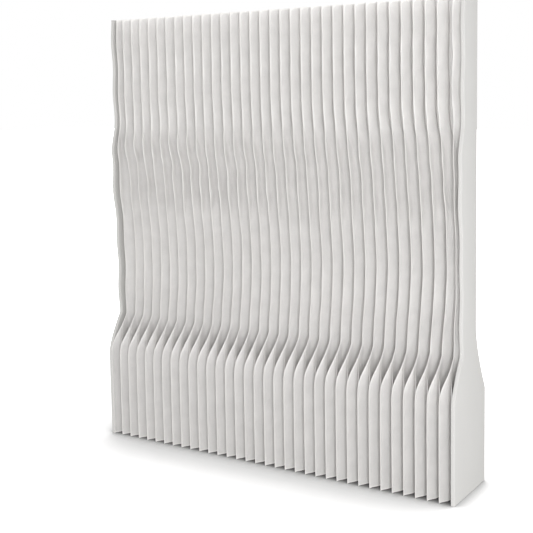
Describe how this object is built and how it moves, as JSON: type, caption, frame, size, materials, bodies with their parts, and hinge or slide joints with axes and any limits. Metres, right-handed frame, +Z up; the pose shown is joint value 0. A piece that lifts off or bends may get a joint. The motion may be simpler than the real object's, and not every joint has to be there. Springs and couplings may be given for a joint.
{
  "type": "expanding paper screen",
  "caption": "Free-standing expanding screen: an upright honeycomb of pale paper leaves with a wide base and a drawn-in waist, between two end boards.",
  "frame": {"origin": "on the floor, midway along the screen and midway through the depth of its base", "axes": "+X along the screen to the end board seen in the picture, -Y towards the viewer, +Z up"},
  "size_m": [1.43, 0.26, 1.6],
  "materials": {
    "leaf_paper": "matte",
    "board_paper": "matte",
    "fibreboard": "matte",
    "magnet": "satin"
  },
  "bodies": {
    "left_end": {"left_board_cover": "board_paper", "left_board_core": "fibreboard", "left_board_liner": "board_paper", "left_magnets": "magnet", "left_end_leaf": "leaf_paper"},
    "leaf_pair_01": {"leaf_pair_01": "leaf_paper"},
    "leaf_pair_02": {"leaf_pair_02": "leaf_paper"},
    "leaf_pair_03": {"leaf_pair_03": "leaf_paper"},
    "leaf_pair_04": {"leaf_pair_04": "leaf_paper"},
    "leaf_pair_05": {"leaf_pair_05": "leaf_paper"},
    "leaf_pair_06": {"leaf_pair_06": "leaf_paper"},
    "leaf_pair_07": {"leaf_pair_07": "leaf_paper"},
    "leaf_pair_08": {"leaf_pair_08": "leaf_paper"},
    "leaf_pair_09": {"leaf_pair_09": "leaf_paper"},
    "leaf_pair_10": {"leaf_pair_10": "leaf_paper"},
    "leaf_pair_11": {"leaf_pair_11": "leaf_paper"},
    "leaf_pair_12": {"leaf_pair_12": "leaf_paper"},
    "leaf_pair_13": {"leaf_pair_13": "leaf_paper"},
    "leaf_pair_14": {"leaf_pair_14": "leaf_paper"},
    "leaf_pair_15": {"leaf_pair_15": "leaf_paper"},
    "leaf_pair_16": {"leaf_pair_16": "leaf_paper"},
    "leaf_pair_17": {"leaf_pair_17": "leaf_paper"},
    "leaf_pair_18": {"leaf_pair_18": "leaf_paper"},
    "leaf_pair_19": {"leaf_pair_19": "leaf_paper"},
    "leaf_pair_20": {"leaf_pair_20": "leaf_paper"},
    "leaf_pair_21": {"leaf_pair_21": "leaf_paper"},
    "leaf_pair_22": {"leaf_pair_22": "leaf_paper"},
    "leaf_pair_23": {"leaf_pair_23": "leaf_paper"},
    "leaf_pair_24": {"leaf_pair_24": "leaf_paper"},
    "leaf_pair_25": {"leaf_pair_25": "leaf_paper"},
    "leaf_pair_26": {"leaf_pair_26": "leaf_paper"},
    "leaf_pair_27": {"leaf_pair_27": "leaf_paper"},
    "leaf_pair_28": {"leaf_pair_28": "leaf_paper"},
    "leaf_pair_29": {"leaf_pair_29": "leaf_paper"},
    "leaf_pair_30": {"leaf_pair_30": "leaf_paper"},
    "leaf_pair_31": {"leaf_pair_31": "leaf_paper"},
    "leaf_pair_32": {"leaf_pair_32": "leaf_paper"},
    "leaf_pair_33": {"leaf_pair_33": "leaf_paper"},
    "right_end": {"right_end_leaf": "leaf_paper", "right_board_liner": "board_paper", "right_board_core": "fibreboard", "right_board_cover": "board_paper", "right_magnets": "magnet"}
  },
  "joints": [
    {"name": "stretch", "type": "slide", "parent": "leaf_pair_17", "child": "leaf_pair_18", "axis": [1, 0, 0], "range_m": [-0.01265, 0.01676], "deforming": ["leaf_pair_17", "leaf_pair_18"]},
    {"name": "cell_19_stretch", "type": "slide", "parent": "leaf_pair_18", "child": "leaf_pair_19", "axis": [1, 0, 0], "range_m": [-0.01265, 0.01676], "deforming": ["leaf_pair_19"]},
    {"name": "cell_20_stretch", "type": "slide", "parent": "leaf_pair_19", "child": "leaf_pair_20", "axis": [1, 0, 0], "range_m": [-0.01265, 0.01676], "deforming": ["leaf_pair_20"]},
    {"name": "cell_21_stretch", "type": "slide", "parent": "leaf_pair_20", "child": "leaf_pair_21", "axis": [1, 0, 0], "range_m": [-0.01265, 0.01676], "deforming": ["leaf_pair_21"]},
    {"name": "cell_22_stretch", "type": "slide", "parent": "leaf_pair_21", "child": "leaf_pair_22", "axis": [1, 0, 0], "range_m": [-0.01265, 0.01676], "deforming": ["leaf_pair_22"]},
    {"name": "cell_23_stretch", "type": "slide", "parent": "leaf_pair_22", "child": "leaf_pair_23", "axis": [1, 0, 0], "range_m": [-0.01265, 0.01676], "deforming": ["leaf_pair_23"]},
    {"name": "cell_24_stretch", "type": "slide", "parent": "leaf_pair_23", "child": "leaf_pair_24", "axis": [1, 0, 0], "range_m": [-0.01265, 0.01676], "deforming": ["leaf_pair_24"]},
    {"name": "cell_25_stretch", "type": "slide", "parent": "leaf_pair_24", "child": "leaf_pair_25", "axis": [1, 0, 0], "range_m": [-0.01265, 0.01676], "deforming": ["leaf_pair_25"]},
    {"name": "cell_26_stretch", "type": "slide", "parent": "leaf_pair_25", "child": "leaf_pair_26", "axis": [1, 0, 0], "range_m": [-0.01265, 0.01676], "deforming": ["leaf_pair_26"]},
    {"name": "cell_27_stretch", "type": "slide", "parent": "leaf_pair_26", "child": "leaf_pair_27", "axis": [1, 0, 0], "range_m": [-0.01265, 0.01676], "deforming": ["leaf_pair_27"]},
    {"name": "cell_28_stretch", "type": "slide", "parent": "leaf_pair_27", "child": "leaf_pair_28", "axis": [1, 0, 0], "range_m": [-0.01265, 0.01676], "deforming": ["leaf_pair_28"]},
    {"name": "cell_29_stretch", "type": "slide", "parent": "leaf_pair_28", "child": "leaf_pair_29", "axis": [1, 0, 0], "range_m": [-0.01265, 0.01676], "deforming": ["leaf_pair_29"]},
    {"name": "cell_30_stretch", "type": "slide", "parent": "leaf_pair_29", "child": "leaf_pair_30", "axis": [1, 0, 0], "range_m": [-0.01265, 0.01676], "deforming": ["leaf_pair_30"]},
    {"name": "cell_31_stretch", "type": "slide", "parent": "leaf_pair_30", "child": "leaf_pair_31", "axis": [1, 0, 0], "range_m": [-0.01265, 0.01676], "deforming": ["leaf_pair_31"]},
    {"name": "cell_32_stretch", "type": "slide", "parent": "leaf_pair_31", "child": "leaf_pair_32", "axis": [1, 0, 0], "range_m": [-0.01265, 0.01676], "deforming": ["leaf_pair_32"]},
    {"name": "cell_33_stretch", "type": "slide", "parent": "leaf_pair_32", "child": "leaf_pair_33", "axis": [1, 0, 0], "range_m": [-0.01265, 0.01676], "deforming": ["leaf_pair_33"]},
    {"name": "cell_34_stretch", "type": "slide", "parent": "leaf_pair_33", "child": "right_end", "axis": [1, 0, 0], "range_m": [-0.01265, 0.01676], "deforming": ["right_end_leaf"]},
    {"name": "cell_17_stretch", "type": "slide", "parent": "leaf_pair_17", "child": "leaf_pair_16", "axis": [-1, 0, 0], "range_m": [-0.01265, 0.01676], "deforming": ["leaf_pair_16"]},
    {"name": "cell_16_stretch", "type": "slide", "parent": "leaf_pair_16", "child": "leaf_pair_15", "axis": [-1, 0, 0], "range_m": [-0.01265, 0.01676], "deforming": ["leaf_pair_15"]},
    {"name": "cell_15_stretch", "type": "slide", "parent": "leaf_pair_15", "child": "leaf_pair_14", "axis": [-1, 0, 0], "range_m": [-0.01265, 0.01676], "deforming": ["leaf_pair_14"]},
    {"name": "cell_14_stretch", "type": "slide", "parent": "leaf_pair_14", "child": "leaf_pair_13", "axis": [-1, 0, 0], "range_m": [-0.01265, 0.01676], "deforming": ["leaf_pair_13"]},
    {"name": "cell_13_stretch", "type": "slide", "parent": "leaf_pair_13", "child": "leaf_pair_12", "axis": [-1, 0, 0], "range_m": [-0.01265, 0.01676], "deforming": ["leaf_pair_12"]},
    {"name": "cell_12_stretch", "type": "slide", "parent": "leaf_pair_12", "child": "leaf_pair_11", "axis": [-1, 0, 0], "range_m": [-0.01265, 0.01676], "deforming": ["leaf_pair_11"]},
    {"name": "cell_11_stretch", "type": "slide", "parent": "leaf_pair_11", "child": "leaf_pair_10", "axis": [-1, 0, 0], "range_m": [-0.01265, 0.01676], "deforming": ["leaf_pair_10"]},
    {"name": "cell_10_stretch", "type": "slide", "parent": "leaf_pair_10", "child": "leaf_pair_09", "axis": [-1, 0, 0], "range_m": [-0.01265, 0.01676], "deforming": ["leaf_pair_09"]},
    {"name": "cell_09_stretch", "type": "slide", "parent": "leaf_pair_09", "child": "leaf_pair_08", "axis": [-1, 0, 0], "range_m": [-0.01265, 0.01676], "deforming": ["leaf_pair_08"]},
    {"name": "cell_08_stretch", "type": "slide", "parent": "leaf_pair_08", "child": "leaf_pair_07", "axis": [-1, 0, 0], "range_m": [-0.01265, 0.01676], "deforming": ["leaf_pair_07"]},
    {"name": "cell_07_stretch", "type": "slide", "parent": "leaf_pair_07", "child": "leaf_pair_06", "axis": [-1, 0, 0], "range_m": [-0.01265, 0.01676], "deforming": ["leaf_pair_06"]},
    {"name": "cell_06_stretch", "type": "slide", "parent": "leaf_pair_06", "child": "leaf_pair_05", "axis": [-1, 0, 0], "range_m": [-0.01265, 0.01676], "deforming": ["leaf_pair_05"]},
    {"name": "cell_05_stretch", "type": "slide", "parent": "leaf_pair_05", "child": "leaf_pair_04", "axis": [-1, 0, 0], "range_m": [-0.01265, 0.01676], "deforming": ["leaf_pair_04"]},
    {"name": "cell_04_stretch", "type": "slide", "parent": "leaf_pair_04", "child": "leaf_pair_03", "axis": [-1, 0, 0], "range_m": [-0.01265, 0.01676], "deforming": ["leaf_pair_03"]},
    {"name": "cell_03_stretch", "type": "slide", "parent": "leaf_pair_03", "child": "leaf_pair_02", "axis": [-1, 0, 0], "range_m": [-0.01265, 0.01676], "deforming": ["leaf_pair_02"]},
    {"name": "cell_02_stretch", "type": "slide", "parent": "leaf_pair_02", "child": "leaf_pair_01", "axis": [-1, 0, 0], "range_m": [-0.01265, 0.01676], "deforming": ["leaf_pair_01"]},
    {"name": "cell_01_stretch", "type": "slide", "parent": "leaf_pair_01", "child": "left_end", "axis": [-1, 0, 0], "range_m": [-0.01265, 0.01676], "deforming": ["left_end_leaf"]}
  ],
  "couplings": [
    {"joint": "cell_19_stretch", "follows": "stretch", "ratio": 1},
    {"joint": "cell_20_stretch", "follows": "stretch", "ratio": 1},
    {"joint": "cell_21_stretch", "follows": "stretch", "ratio": 1},
    {"joint": "cell_22_stretch", "follows": "stretch", "ratio": 1},
    {"joint": "cell_23_stretch", "follows": "stretch", "ratio": 1},
    {"joint": "cell_24_stretch", "follows": "stretch", "ratio": 1},
    {"joint": "cell_25_stretch", "follows": "stretch", "ratio": 1},
    {"joint": "cell_26_stretch", "follows": "stretch", "ratio": 1},
    {"joint": "cell_27_stretch", "follows": "stretch", "ratio": 1},
    {"joint": "cell_28_stretch", "follows": "stretch", "ratio": 1},
    {"joint": "cell_29_stretch", "follows": "stretch", "ratio": 1},
    {"joint": "cell_30_stretch", "follows": "stretch", "ratio": 1},
    {"joint": "cell_31_stretch", "follows": "stretch", "ratio": 1},
    {"joint": "cell_32_stretch", "follows": "stretch", "ratio": 1},
    {"joint": "cell_33_stretch", "follows": "stretch", "ratio": 1},
    {"joint": "cell_34_stretch", "follows": "stretch", "ratio": 1},
    {"joint": "cell_17_stretch", "follows": "stretch", "ratio": 1},
    {"joint": "cell_16_stretch", "follows": "stretch", "ratio": 1},
    {"joint": "cell_15_stretch", "follows": "stretch", "ratio": 1},
    {"joint": "cell_14_stretch", "follows": "stretch", "ratio": 1},
    {"joint": "cell_13_stretch", "follows": "stretch", "ratio": 1},
    {"joint": "cell_12_stretch", "follows": "stretch", "ratio": 1},
    {"joint": "cell_11_stretch", "follows": "stretch", "ratio": 1},
    {"joint": "cell_10_stretch", "follows": "stretch", "ratio": 1},
    {"joint": "cell_09_stretch", "follows": "stretch", "ratio": 1},
    {"joint": "cell_08_stretch", "follows": "stretch", "ratio": 1},
    {"joint": "cell_07_stretch", "follows": "stretch", "ratio": 1},
    {"joint": "cell_06_stretch", "follows": "stretch", "ratio": 1},
    {"joint": "cell_05_stretch", "follows": "stretch", "ratio": 1},
    {"joint": "cell_04_stretch", "follows": "stretch", "ratio": 1},
    {"joint": "cell_03_stretch", "follows": "stretch", "ratio": 1},
    {"joint": "cell_02_stretch", "follows": "stretch", "ratio": 1},
    {"joint": "cell_01_stretch", "follows": "stretch", "ratio": 1}
  ]
}
